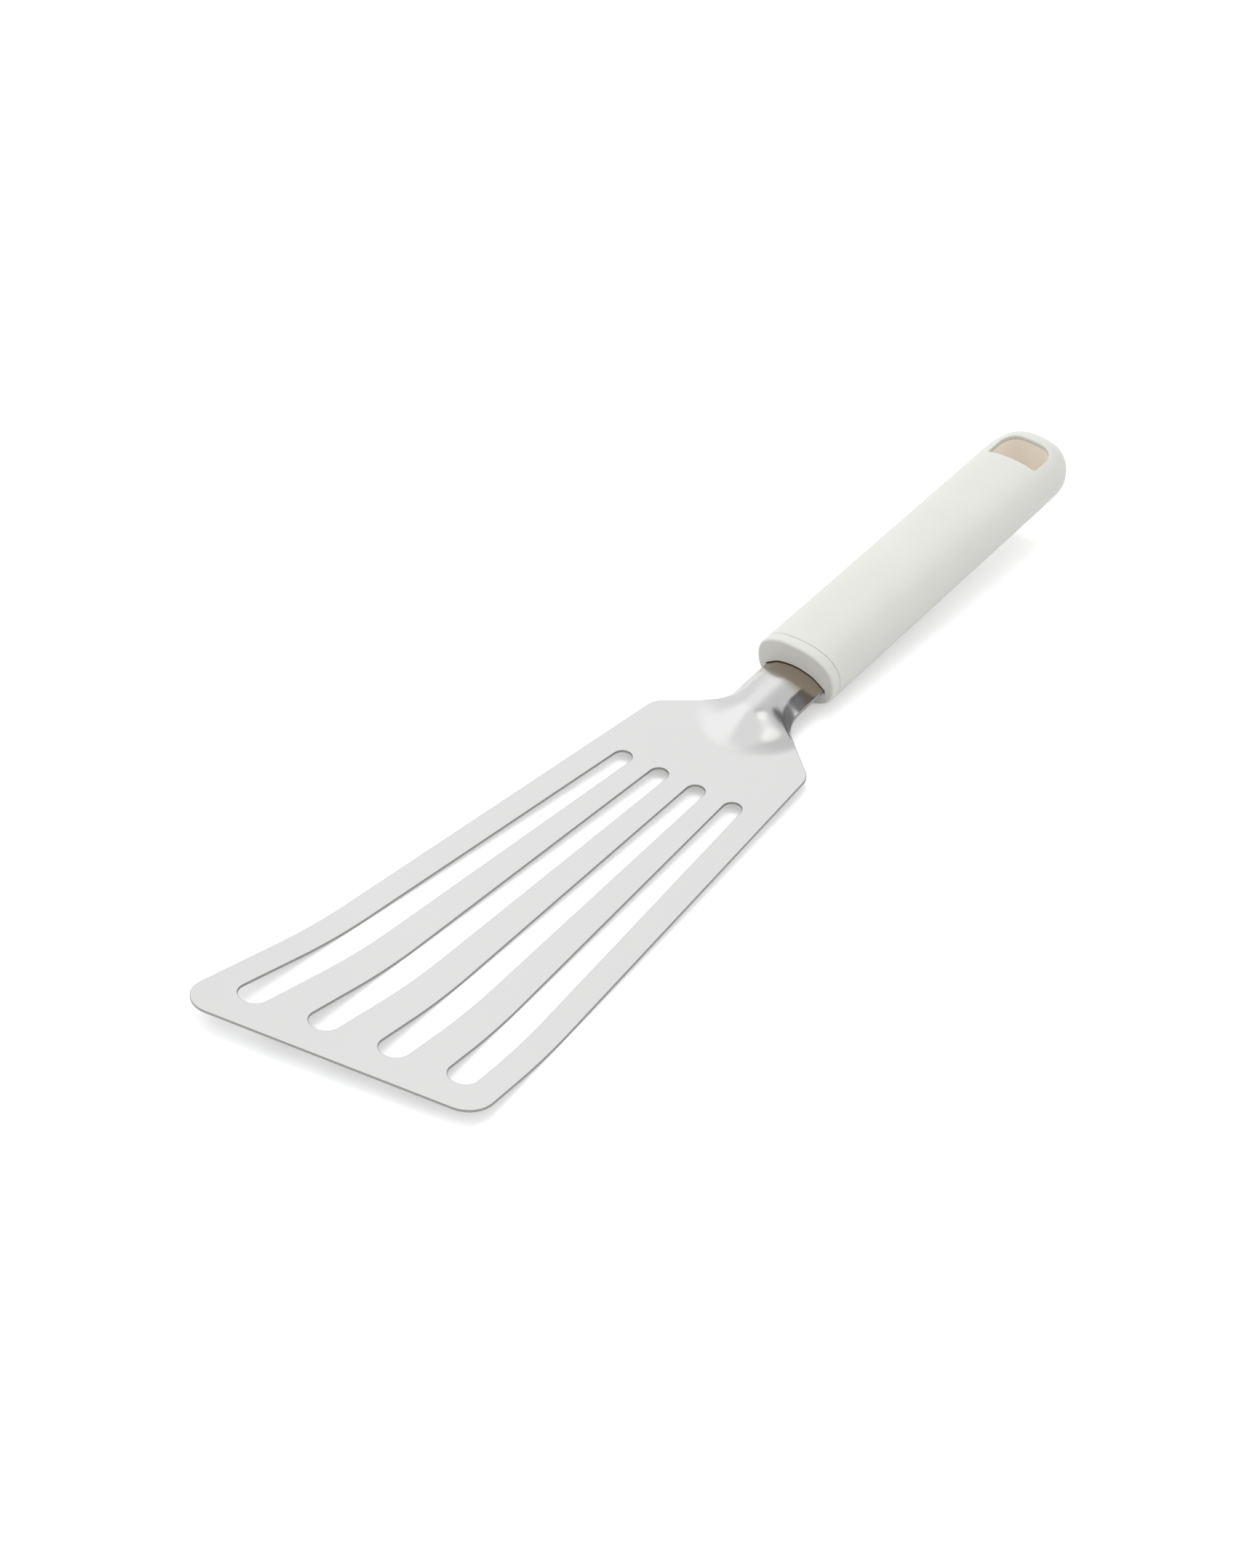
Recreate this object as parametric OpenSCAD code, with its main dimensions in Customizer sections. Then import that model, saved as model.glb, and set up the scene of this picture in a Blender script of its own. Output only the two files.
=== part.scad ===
// Slotted turner: a stamped stainless steel blade whose drawn neck and tang are held in a moulded handle.
// Millimetres. The turner lies at rest on a table: +X runs along it to the tip and +Z is up.
// The origin is on the table, at the middle of the bounding box.

/* [Blade plan] */
// Thickness of the steel sheet
sheet_t = 0.8; // [0.5:0.05:1.6]
// Length from the line of the rear corners to the middle of the front edge
blade_l = 166.5; // [90:0.5:260]
// Width across the rear corners, before they are rounded
rear_w = 53.3; // [36:0.1:90]
// Width of the paddle where the middle of the front edge lies
front_w = 85.7; // [44:0.1:140]
// Slant of the front edge, in degrees from square
front_slant = 12.2; // [0:0.1:25]
// Slope of the shoulders, in degrees from the length
shoulder_angle = 51.7; // [30:0.1:75]
// Radius of the rear corners
rear_corner_r = 6; // [2:0.1:12]
// Radius of the front corners
front_corner_r = 7.8; // [2:0.1:20]

/* [Blade bend] */
// Length of the flat part, from the line of the rear corners
bend_start = 115.9; // [60:0.1:220]
// Radius of the bend, on the upper face
bend_r = 137; // [40:1:400]
// Angle that the tip turns up by, in degrees
bend_angle = 9.8; // [0:0.1:25]

/* [Slots] */
// Number of slots
slot_count = 4; // [1:1:6]
// Width of a slot at its rear end
slot_rear_w = 5.5; // [2:0.1:12]
// Width of a slot at its front end
slot_front_w = 8.6; // [2:0.1:16]
// Spacing of the slots at their rear ends
slot_rear_pitch = 12.2; // [8:0.1:30]
// Spacing of the slots at their front ends
slot_front_pitch = 19.5; // [10:0.1:40]
// Distance from the line of the rear corners to the rear ends' centres
slot_rear_gap = 23.9; // [12:0.1:60]
// Distance from the front edge back to the front ends' centres
slot_front_gap = 13.7; // [8:0.1:60]
// Slant of the row of rear ends, in degrees from square
slot_rear_slant = 2.2; // [0:0.1:20]

/* [Neck] */
// Length of the neck, from the line of the rear corners to the handle's face
neck_l = 29.8; // [22:0.1:80]
// Width of the neck
neck_w = 19.8; // [12:0.1:30]
// Width of the neck's crown, between its two creases
crown_w = 12.4; // [6:0.1:20]
// Rise of the crown's curve from the creases to the middle
crown_arch = 1; // [0:0.05:2]
// Height that each side wall of the neck falls by
wall_drop = 2.6; // [0.5:0.1:6]
// Softness of the creases
crease_soft = 0.35; // [0.05:0.05:3]
// Height of the crown above the blade at the handle's face
crown_rise = 6.4; // [3:0.1:12]
// Height of the crown above the handle's axis
crown_over_axis = 1.85; // [-2:0.05:4]
// Radius of the hollow between the neck's edge and the shoulder
neck_fillet_r = 9; // [3:0.1:20]
// Distance of the drawn end's centre behind the line of the rear corners
draw_back = 13; // [8:0.1:30]
// Radius of the drawn end, where it has come down to the flat blade
draw_reach = 18.5; // [8:0.1:26]
// Radius of the drawn end's top
draw_top_r = 3; // [0.5:0.1:8]
// Length over which the neck's section turns into the drawn end's
draw_blend = 6.5; // [2:0.1:15]

/* [Tang] */
// Length of the tang behind the handle's face
tang_l = 95; // [60:0.5:140]
// Width of the tang
tang_w = 12; // [8:0.1:16]
// Length of the full neck section inside the handle
tang_root_l = 8; // [5:0.1:20]
// Length over which the neck narrows to the tang, and the tang's end tapers
tang_taper_l = 6; // [3:0.1:15]
// Diameter of the anchor holes in the tang
anchor_d = 5; // [2:0.1:8]

/* [Handle] */
// Length of the handle
handle_l = 125; // [90:0.1:180]
// Width of the handle at the front
handle_w = 26.4; // [18:0.1:40]
// Height of the handle at the front
handle_h = 18.6; // [14:0.1:30]
// Width that the handle's sides run to at the tail, before the end is rounded
tail_w = 26.4; // [16:0.1:40]
// Height that the handle runs to at the tail, before the end is rounded
tail_h = 16.4; // [12:0.1:30]
// Power of the section's superellipse, where 2 is an ellipse
section_power = 2.4; // [2:0.1:5]
// Length of the tail's rounding, seen from above
tail_round_l = 14; // [6:0.1:20]
// Length of the tail's rounding, seen from the side
tail_round_h = 6.3; // [4:0.1:12]
// Rise of the handle toward its tail, in degrees from the blade
handle_tilt = 2.76; // [0:0.01:12]
// Length of the front collar
collar_l = 3.3; // [2:0.1:10]
// Rounding of the collar's front edge
collar_round = 0.8; // [0.2:0.1:2]
// Wall of the outer sleeve
sleeve_wall = 1.2; // [1:0.1:4]
// Width of the hanging hole
hang_w = 16.4; // [8:0.1:24]
// Length of the hanging hole
hang_l = 10.7; // [5:0.1:20]
// Distance from the hanging hole's far edge to the tail's end
hang_end_gap = 7.5; // [4:0.1:20]
// Radius of the hanging hole's corners on the tail side
hang_tail_r = 4.5; // [1:0.1:8]
// Radius of the hanging hole's corners on the blade side
hang_near_r = 1; // [0.3:0.1:4]

/* [Fits] */
// Gap round the neck in the collar's slot
slot_fit = 0.25; // [0.1:0.01:0.6]
// Gap between the pieces that are bonded together
bond_gap = 0.1; // [0.05:0.01:0.3]

/* [Rest] */
// Angle that the blade comes down by toward the tip when the turner lies on a table, in degrees
rest_tilt = 1.5; // [0:0.01:5]

/* [Hidden] */
$fn = 64;
steel = "#E2E2E2";
shell_white = "#E6E5E1";
core_beige = "#D6CBBA";
// length that a cut runs on past a face
overrun = 1;
// thin strip of flat sheet that the paddle and the neck's skin share
lap = 1;
// step for the slopes of the formed sheet
slope_step = sheet_t / 8;
// parts of a turn, of a curve or of a length that each curve is drawn in
arc_steps = 16;
ring_steps = 44;
skin_steps = 44;
end_steps = 11;
// places of the anchor holes, as shares of the tang's length
anchor_shares = [0.3, 0.58, 0.86];
// diameter of the core's studs in the anchor holes
stud_d = anchor_d - 2 * bond_gap;

// the blade's plan: side is 1 or -1, for the edge on that side of the middle
slant = tan(front_slant);
flare = (front_w - rear_w) / 2 / blade_l;
shoulder = tan(shoulder_angle);
tang_end_x = -neck_l - tang_l;
root_x = -neck_l - tang_root_l;
function rear_corner(side) = [0, side * rear_w / 2];
function front_corner(side) =
    let (x = (blade_l - side * slant * rear_w / 2) / (1 + side * slant * flare))
    [x, side * (rear_w / 2 + flare * x)];
function root_corner(side) = [-(rear_w - neck_w) / 2 / shoulder, side * neck_w / 2];
function root_start(side) = [root_x, side * neck_w / 2];
// a corner at b rounded with radius r: its first tangent point, its centre and its last tangent point
function unit(v) = v / norm(v);
function rounded(a, b, c, r) =
    let (u = unit(a - b), v = unit(c - b), half = acos(u * v) / 2)
    [b + u * r / tan(half), b + unit(u + v) * r / sin(half), b + v * r / tan(half)];
function arc(c, r, a0, turn) = [for (i = [0:arc_steps]) let (a = a0 + turn * i / arc_steps)
    c + r * [cos(a), sin(a)]];
function round_points(a, b, c, r) =
    let (q = rounded(a, b, c, r), v0 = q[0] - q[1], v1 = q[2] - q[1], a0 = atan2(v0[1], v0[0]),
        turn = atan2(v1[1], v1[0]) - a0)
    arc(q[1], r, a0, turn - 360 * floor((turn + 180) / 360));
// the narrow part of one edge, grown by a gap: the tang's end, the tang and its root
function tang_edge(side, gap) = [[tang_end_x - gap, side * (tang_w / 4 + gap)],
    [tang_end_x + tang_taper_l, side * (tang_w / 2 + gap)],
    [root_x - tang_taper_l, side * (tang_w / 2 + gap)], [root_x, side * (neck_w / 2 + gap)]];
// one whole edge, from the tang's end to the front edge
function edge(side) = concat(tang_edge(side, 0),
    round_points(root_start(side), root_corner(side), rear_corner(side), neck_fillet_r),
    round_points(root_corner(side), rear_corner(side), front_corner(side), rear_corner_r),
    round_points(rear_corner(side), front_corner(side), front_corner(-side), front_corner_r));
function back(list) = [for (i = [len(list) - 1:-1:0]) list[i]];
function front_centre(side) =
    rounded(rear_corner(side), front_corner(side), front_corner(-side), front_corner_r)[1];

// the slots' centres and radii: the row fans out from the rear to the front
slot_x0 = slot_rear_gap;
slot_x1 = blade_l - slot_front_gap;
pitch_grow = (slot_front_pitch - slot_rear_pitch) / (slot_x1 - slot_x0);
w_grow = (slot_front_w - slot_rear_w) / (slot_x1 - slot_x0);
function slot_end(i, x0, pitch, m) = let (y = i * pitch / (1 + i * pitch_grow * m)) [x0 - m * y, y];
function slot_radius(x) = (slot_rear_w + w_grow * (x - slot_x0)) / 2;

// height of the upper face along the paddle
bend_l = bend_r * sin(bend_angle);
bend_h = bend_r * (1 - cos(bend_angle));
function bend_point(a, r) = [bend_start + r * sin(a), bend_r - r * cos(a)];
function top_z(x) = x < bend_start ? 0
    : x < bend_start + bend_l ? bend_r - sqrt(bend_r * bend_r - pow(x - bend_start, 2))
    : bend_h + (x - bend_start - bend_l) * tan(bend_angle);

// the drawn neck: the lower of its body and its side wall. The body is an arched crown, which climbs toward
// the handle and ends in a round fall. The wall rises from the neck's edge, round the hollow too, and it runs
// on past the edge only where the neck is drawn
face_z = crown_rise - crown_over_axis;
fall = wall_drop * 2 / (neck_w - crown_w);
hollow = rounded(root_start(1), root_corner(1), rear_corner(1), neck_fillet_r)[1];
function crown_z(x) = max(0, crown_rise - (x + neck_l) * tan(handle_tilt));
function smooth(t) = let (u = min(1, max(0, t))) u * u * (3 - 2 * u);
function soft_min(a, b, soft) = (a + b - sqrt(pow(a - b, 2) + pow(soft, 2))) / 2;
function edge_gap(x, y) = x < hollow[0] ? neck_w / 2 - abs(y)
    : norm([x - hollow[0], abs(y) - hollow[1]]) - neck_fillet_r;
function drawn(x, y) = 1 - smooth((x + draw_back + draw_blend) / draw_blend)
    * smooth((norm([max(0, x + draw_back), y]) - draw_top_r) / (draw_reach - draw_top_r));
function skin_z(x, y) =
    let (d = drawn(x, y), body = (crown_z(x) - 2 * crown_arch * smooth(abs(y) / crown_w)) * d,
        foot = (crown_z(x) - crown_arch - wall_drop) * d)
    soft_min(body, foot + fall * max(edge_gap(x, y), -neck_w * d), crease_soft * d);
// thickness of the formed sheet, measured upright
function skin_t(x, y) = sheet_t * sqrt(1
    + pow((skin_z(x + slope_step, y) - skin_z(x - slope_step, y)) / 2 / slope_step, 2)
    + pow((skin_z(x, y + slope_step) - skin_z(x, y - slope_step)) / 2 / slope_step, 2));

// the skin reaches a lap past the drawn end, into the flat sheet
window_w = draw_reach + lap;
window_x = draw_reach - draw_back + lap;
// stations along the skin, from the tang's end to the blade
function steps(a, b, n) = [for (i = [0:n - 1]) a + (b - a) * i / n];
blend_x = -draw_back - draw_blend;
narrow_x = root_x - tang_taper_l;
tang_stations = concat(steps(tang_end_x - overrun, narrow_x, 3), steps(narrow_x, blend_x, 6));
draw_stations = concat(steps(blend_x, -draw_back, 8), steps(-draw_back, window_x - lap, 22),
    [window_x - lap, window_x]);

// half width and half height of the handle at a distance s behind its face, set in by a wall
function taper(a, b, s) = (a + (b - a) * s / handle_l) / 2;
function rounding(s, end, l, p) = pow(max(0, 1 - pow(max(0, (s - end + l) / l), p)), 1 / p);
function front_inset(s) = s >= collar_round ? 0
    : collar_round - sqrt(pow(collar_round, 2) - pow(collar_round - s, 2));
function half_w(s, wall) = (taper(handle_w, tail_w, s) - front_inset(s) - wall)
    * rounding(s, handle_l - wall, tail_round_l - wall, section_power);
function half_h(s, wall) = (taper(handle_h, tail_h, s) - front_inset(s) - wall)
    * rounding(s, handle_l - wall, tail_round_h - wall, 2);
// stations along the handle: straight run, then closer together round the tail
function tail_stations(s0, wall) = concat(steps(s0, handle_l - tail_round_l, 5),
    [for (i = [0:end_steps]) handle_l - wall - (tail_round_l - wall) * (1 - sin(90 * i / (end_steps + 1)))]);
front_stations = [for (i = [0:4]) collar_round * (1 - cos(90 * i / 4))];
tail_s = handle_l - tail_round_l * (1 - sin(90 * end_steps / (end_steps + 1)));
hang_s1 = handle_l - hang_end_gap;
hang_s0 = hang_s1 - hang_l;

// the rest pose: tilt about the line of the rear corners, then shift so that the box sits on its origin
function rest_x(x, z) = x * cos(rest_tilt) + z * sin(rest_tilt);
function rest_z(x, z) = z * cos(rest_tilt) - x * sin(rest_tilt);
belly_z = rest_z(bend_start, bend_r) - bend_r - sheet_t;
tip_x = front_centre(-1)[0] + front_corner_r;
max_x = rest_x(tip_x, top_z(tip_x));
tail_drop = half_h(tail_s, 0);
min_x = rest_x(-neck_l - tail_s * cos(handle_tilt) - tail_drop * sin(handle_tilt),
    face_z + tail_s * sin(handle_tilt) - tail_drop * cos(handle_tilt));
side_sum = front_centre(1)[1] + front_centre(-1)[1];

module at_rest() {
    translate([-(max_x + min_x) / 2, -side_sum / 2, -belly_z]) rotate([0, rest_tilt, 0]) children();
}

module at_handle() {
    translate([-neck_l, 0, face_z]) rotate([0, handle_tilt, 0]) children();
}

// one slot: two round ends joined by their outer tangents
module slot(i) {
    a = slot_end(i, slot_x0, slot_rear_pitch, tan(slot_rear_slant));
    b = slot_end(i, slot_x1, slot_front_pitch, slant);
    ra = slot_radius(a[0]);
    rb = slot_radius(b[0]);
    u = b - a;
    along = atan2(u[1], u[0]);
    lean = asin((ra - rb) / norm(u));
    polygon(concat(arc(a, ra, along + 90 - lean, 180 + 2 * lean),
        arc(b, rb, along - 90 + lean, 180 - 2 * lean)));
}

// the whole blade seen from above
module plan() {
    difference() {
        polygon(concat(edge(1), back(edge(-1))));
        for (i = [0:slot_count - 1]) slot(i - (slot_count - 1) / 2);
    }
}

// side view of the paddle: flat, bend and straight tip, drawn in X and Z
module paddle_profile() {
    tip = bend_start + bend_l + blade_l;
    angles = [for (i = [0:arc_steps]) bend_angle * i / arc_steps];
    polygon(concat([[-rear_w, -sheet_t]], [for (a = angles) bend_point(a, bend_r + sheet_t)],
        [[tip, top_z(tip) - sheet_t / cos(bend_angle)], [tip, top_z(tip)]],
        [for (i = [arc_steps:-1:0]) bend_point(angles[i], bend_r)], [[-rear_w, 0]]));
}

// flat and bent sheet, with a window where the drawn skin takes over
module slab() {
    difference() {
        translate([0, front_w, 0]) rotate([90, 0, 0]) linear_extrude(2 * front_w) paddle_profile();
        translate([-2 * rear_w, -draw_reach, -blade_l])
            cube([2 * rear_w + draw_reach - draw_back, 2 * draw_reach, 2 * blade_l]);
    }
}

// closed skin over the stations xs and out to half each way, grown by a gap above and below
module skin(xs, half, gap) {
    n = len(xs);
    m = skin_steps + 1;
    ys = [for (j = [0:skin_steps]) (2 * j / skin_steps - 1) * half];
    top = [for (x = xs) for (y = ys) [x, y, skin_z(x, y) + gap]];
    low = [for (x = xs) for (y = ys) [x, y, skin_z(x, y) - skin_t(x, y) - gap]];
    k = n * m;
    polyhedron(points = concat(top, low), convexity = 4, faces = concat(
        [for (i = [0:n - 2]) for (j = [0:m - 2]) for (f = [[0, 1, m + 1], [0, m + 1, m]])
            [for (q = f) i * m + j + q]],
        [for (i = [0:n - 2]) for (j = [0:m - 2]) for (f = [[0, m + 1, 1], [0, m, m + 1]])
            [for (q = f) k + i * m + j + q]],
        [for (i = [0:n - 2]) for (f = [[0, m, k], [k, m, k + m]]) [for (q = f) i * m + q]],
        [for (i = [0:n - 2]) for (f = [[0, k, m], [k, k + m, m]]) [for (q = f) i * m + m - 1 + q]],
        [for (j = [0:m - 2]) for (f = [[0, k, 1], [1, k, k + 1]]) [for (q = f) j + q]],
        [for (j = [0:m - 2]) for (f = [[0, 1, k], [1, k + 1, k]]) [for (q = f) (n - 1) * m + j + q]]));
}

// room for the neck and the tang, with a gap all round
module tang_room(gap) {
    intersection() {
        skin(concat(tang_stations, [blend_x]), neck_w / 2 + lap, gap);
        translate([0, 0, -handle_l]) linear_extrude(2 * handle_l)
            polygon(concat([[blend_x, -neck_w / 2 - gap]], back(tang_edge(-1, gap)), tang_edge(1, gap),
                [[blend_x, neck_w / 2 + gap]]));
    }
}

// solid through rings at the distances ss behind the face, set in by a wall
module handle_form(ss, wall) {
    n = len(ss);
    m = ring_steps;
    e = 2 / section_power;
    ring = [for (j = [0:m - 1]) let (a = 360 * (j + 0.5) / m)
        [sign(cos(a)) * pow(abs(cos(a)), e), sign(sin(a)) * pow(abs(sin(a)), e)]];
    points = [for (s = ss) for (p = ring) [-s, p[0] * half_w(s, wall), p[1] * half_h(s, wall)]];
    polyhedron(points = points, convexity = 4, faces = concat(
        [[for (j = [m - 1:-1:0]) j]], [[for (j = [0:m - 1]) (n - 1) * m + j]],
        [for (i = [0:n - 2]) for (j = [0:m - 1]) let (k = (j + 1) % m)
            for (f = [[j, k, m + k], [j, m + k, m + j]]) [for (q = f) i * m + q]]));
}

// the hanging hole, cut right through the handle
module hang_cut(gap) {
    w = hang_w / 2 + gap;
    near = -hang_s0 + gap;
    far = -hang_s1 - gap;
    translate([0, 0, -handle_h]) linear_extrude(2 * handle_h) {
        translate([far + hang_tail_r, -w]) square([near - far - hang_tail_r - hang_near_r, 2 * w]);
        translate([far, hang_tail_r - w]) square([near - far, 2 * (w - hang_tail_r)]);
        translate([near - hang_tail_r, hang_near_r - w]) square([hang_tail_r, 2 * (w - hang_near_r)]);
        for (side = [-1, 1]) {
            translate([far + hang_tail_r, side * (w - hang_tail_r)]) circle(r = hang_tail_r);
            translate([near - hang_near_r, side * (w - hang_near_r)]) circle(r = hang_near_r);
        }
    }
}

// upright cylinders at the tang's anchor places
module anchors(d) {
    for (share = anchor_shares)
        translate([-neck_l - share * tang_l, 0, 0]) cylinder(d = d, h = handle_h);
}

module blade() {
    color(steel) difference() {
        intersection() {
            union() {
                slab();
                skin(concat(tang_stations, draw_stations), window_w, 0);
            }
            translate([0, 0, -blade_l]) linear_extrude(2 * blade_l) plan();
        }
        anchors(anchor_d);
    }
}

module front_collar() {
    color(shell_white) difference() {
        at_handle() handle_form(concat(front_stations, [collar_l]), 0);
        tang_room(slot_fit);
    }
}

module handle_grip() {
    color(shell_white) at_handle() difference() {
        handle_form(tail_stations(collar_l + bond_gap, 0), 0);
        handle_form(tail_stations(collar_l - overrun, sleeve_wall), sleeve_wall);
        hang_cut(0);
    }
}

module handle_core() {
    inner = sleeve_wall + bond_gap;
    color(core_beige) difference() {
        at_handle() difference() {
            handle_form(tail_stations(collar_l + bond_gap, inner), inner);
            hang_cut(0);
        }
        difference() {
            tang_room(bond_gap);
            anchors(stud_d);
        }
    }
}

at_rest() blade();
at_rest() handle_core();
at_rest() handle_grip();
at_rest() front_collar();
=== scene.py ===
"""Slotted turner: a buffed stainless blade in a moulded off-white handle, lying on a white table."""

import math

import bpy
import numpy as np
from mathutils import Matrix, Vector
from mathutils.geometry import delaunay_2d_cdt


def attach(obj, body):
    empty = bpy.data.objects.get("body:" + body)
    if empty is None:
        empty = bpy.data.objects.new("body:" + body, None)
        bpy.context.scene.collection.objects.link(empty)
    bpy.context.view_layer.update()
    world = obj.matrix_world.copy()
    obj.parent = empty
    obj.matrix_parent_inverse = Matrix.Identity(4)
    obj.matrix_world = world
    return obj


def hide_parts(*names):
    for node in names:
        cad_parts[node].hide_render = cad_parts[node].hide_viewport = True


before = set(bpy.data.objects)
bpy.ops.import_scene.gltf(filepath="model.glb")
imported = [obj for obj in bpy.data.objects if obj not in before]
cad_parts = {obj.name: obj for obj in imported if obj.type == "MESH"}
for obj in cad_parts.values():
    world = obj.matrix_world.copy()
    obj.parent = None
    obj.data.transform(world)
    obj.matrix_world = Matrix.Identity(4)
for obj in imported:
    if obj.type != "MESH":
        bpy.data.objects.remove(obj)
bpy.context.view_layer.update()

# Sizes in millimetres and angles in radians, the same as the part's own. The blade's plan and its bend:
SHEET_T = 0.8
BLADE_L, REAR_W, FRONT_W = 166.5, 53.3, 85.7
SLANT = math.tan(math.radians(12.2))
SHOULDER = math.tan(math.radians(51.7))
FLARE = (FRONT_W - REAR_W) / 2 / BLADE_L
REAR_R, FRONT_R, HOLLOW_R = 6.0, 7.8, 9.0
BEND_START, BEND_R, BEND_ANGLE = 115.9, 137.0, math.radians(9.8)

# the slots, from the rear end to the front end
SLOT_COUNT = 4
SLOT_REAR_W, SLOT_FRONT_W = 5.5, 8.6
SLOT_REAR_PITCH, SLOT_FRONT_PITCH = 12.2, 19.5
SLOT_REAR_X, SLOT_FRONT_X = 23.9, BLADE_L - 13.7
SLOT_REAR_SLANT = math.tan(math.radians(2.2))

# the drawn neck and the tang
NECK_L, NECK_W, CROWN_W = 29.8, 19.8, 12.4
CROWN_ARCH, WALL_DROP, CREASE_SOFT = 1.0, 2.6, 0.35
CROWN_RISE, CROWN_OVER_AXIS = 6.4, 1.85
DRAW_BACK, DRAW_REACH, DRAW_TOP_R, DRAW_BLEND = 13.0, 18.5, 3.0, 6.5
TANG_L, TANG_W, TANG_ROOT_L, TANG_TAPER_L = 95.0, 12.0, 8.0, 6.0
ANCHOR_D, ANCHOR_SHARES = 5.0, (0.3, 0.58, 0.86)

# the handle, its collar and its hanging hole
HANDLE_L, HANDLE_W, HANDLE_H = 125.0, 26.4, 18.6
TAIL_W, TAIL_H, SECTION_POWER = 26.4, 16.4, 2.4
TAIL_ROUND_L, TAIL_ROUND_H = 14.0, 6.3
HANDLE_TILT = math.radians(2.76)
COLLAR_L, COLLAR_ROUND, SLEEVE_WALL = 3.3, 0.8, 1.2
HANG_W, HANG_L, HANG_END_GAP = 16.4, 10.7, 7.5
HANG_TAIL_R, HANG_NEAR_R = 4.5, 1.0
SLOT_FIT, BOND_GAP = 0.25, 0.1

# how the turner lies: the blade's tilt, and the middle of its rear corners' line in the row frame
REST_TILT = math.radians(1.5)
BLADE_ORIGIN = np.array([-9.8532, 0.7205, 3.8809])

# edge roundings that show only here: the sheet's, the hanging hole's, the seam's and the collar slot's
EDGE_R, HANG_RIM_R, SEAM_R, LIP_R = 0.16, 0.5, 0.25, 0.2
# width over which the hole's inner edge turns
CRISP = 0.03

# steps along the sheet's outline, a slot's and the hanging hole's
OUTLINE_STEP, SLOT_STEP, HANG_STEP = 1.2, 1.5, 0.5
# (start, stop, step) along X and Y of the points inside the outlines. They reach past the sheet and the
# collar, and the points outside are dropped.
PADDLE_GRID = (3, 180, 1.6), (-46, 46, 1.6)
NECK_GRID = (-31, 3, 0.45), (-27, 27, 0.45)
TANG_GRID = (-125, -31.5, 2.0), (-10, 10.1, 0.8)
COLLAR_GRID = (-13, 13.1, 0.9), (-10, 10.1, 0.9)
# the sleeve's rows: even ones up to a place before the tail, then a count of close ones from another
SLEEVE_STEP, EVEN_TO, CLOSE_FROM, CLOSE_ROWS = 4.0, 96, 98, 40
# points round the sleeve and round the collar
SECTION_STEPS, COLLAR_STEPS = 96, 120
# millimetres of the sleeve's chart for a radian round its section
CHART = 12
TWO_PI = 2 * math.pi


def unit(v):
    """The vector brought to length 1."""
    return v / np.linalg.norm(v)


def rows_unit(v):
    """Each row of an array brought to length 1."""
    return v / np.maximum(np.linalg.norm(v, axis=1), 1e-12)[:, None]


def turn_y(angle):
    """Rotation by angle about Y that takes +X down towards -Z."""
    c, s = math.cos(angle), math.sin(angle)
    return np.array([[c, 0, s], [0, 1, 0], [-s, 0, c]])


def lay_down(points):
    """Blade coordinates in mm to the row frame in m: turned by the rest tilt, then moved into place."""
    return (np.asarray(points, float) @ turn_y(REST_TILT).T + BLADE_ORIGIN) / 1000


def handle_to_row(points):
    """Handle coordinates (s behind the face, y, up) to the row frame: x = -s, turned by the handle's
    tilt."""
    p = np.asarray(points, float) * [-1, 1, 1]
    return lay_down(p @ turn_y(HANDLE_TILT).T + [-NECK_L, 0, CROWN_RISE - CROWN_OVER_AXIS])


def grid_of(xs, ys):
    """All the points (x, y) of two rows of values."""
    return np.stack(np.meshgrid(xs, ys, indexing="ij"), -1).reshape(-1, 2)


def even_grid(x_span, y_span):
    """All the points (x, y) of two spans (start, stop, step)."""
    return grid_of(np.arange(*x_span), np.arange(*y_span))


def arc(centre, r, start, turn, n=20):
    """Points on a circle: centre + r (cos a, sin a), with a going from start through turn."""
    a = start + turn * np.linspace(0, 1, n)
    return centre + r * np.stack([np.cos(a), np.sin(a)], -1)


def corner_circle(a, b, c, r):
    """Circle of radius r that touches the lines a-b and b-c: its centre, r / sin(half angle) from b,
    and its tangent points, r / tan(half angle) from b."""
    u, v = unit(a - b), unit(c - b)
    half = math.acos(u @ v) / 2
    return b + unit(u + v) * r / math.sin(half), b + u * r / math.tan(half), b + v * r / math.tan(half)


def round_corner(a, b, c, r, n=20):
    """Arc of the corner's circle, from the first tangent point to the last."""
    centre, p, q = corner_circle(a, b, c, r)
    p, q = p - centre, q - centre
    start = math.atan2(p[1], p[0])
    turn = (math.atan2(q[1], q[0]) - start + math.pi) % TWO_PI - math.pi
    return arc(centre, r, start, turn, n)


def rear_corner(side):
    """Where the shoulder's line meets the paddle's long edge."""
    return np.array([0, side * REAR_W / 2])


def front_corner(side):
    """Where the slanted front line x = BLADE_L - SLANT y meets the long edge
    |y| = REAR_W / 2 + FLARE x."""
    x = (BLADE_L - side * SLANT * REAR_W / 2) / (1 + side * SLANT * FLARE)
    return np.array([x, side * (REAR_W / 2 + FLARE * x)])


def neck_root(side):
    """Where the neck's edge |y| = NECK_W / 2 meets the shoulder's line
    |y| = REAR_W / 2 + SHOULDER x."""
    return np.array([-(REAR_W - NECK_W) / 2 / SHOULDER, side * NECK_W / 2])


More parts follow.
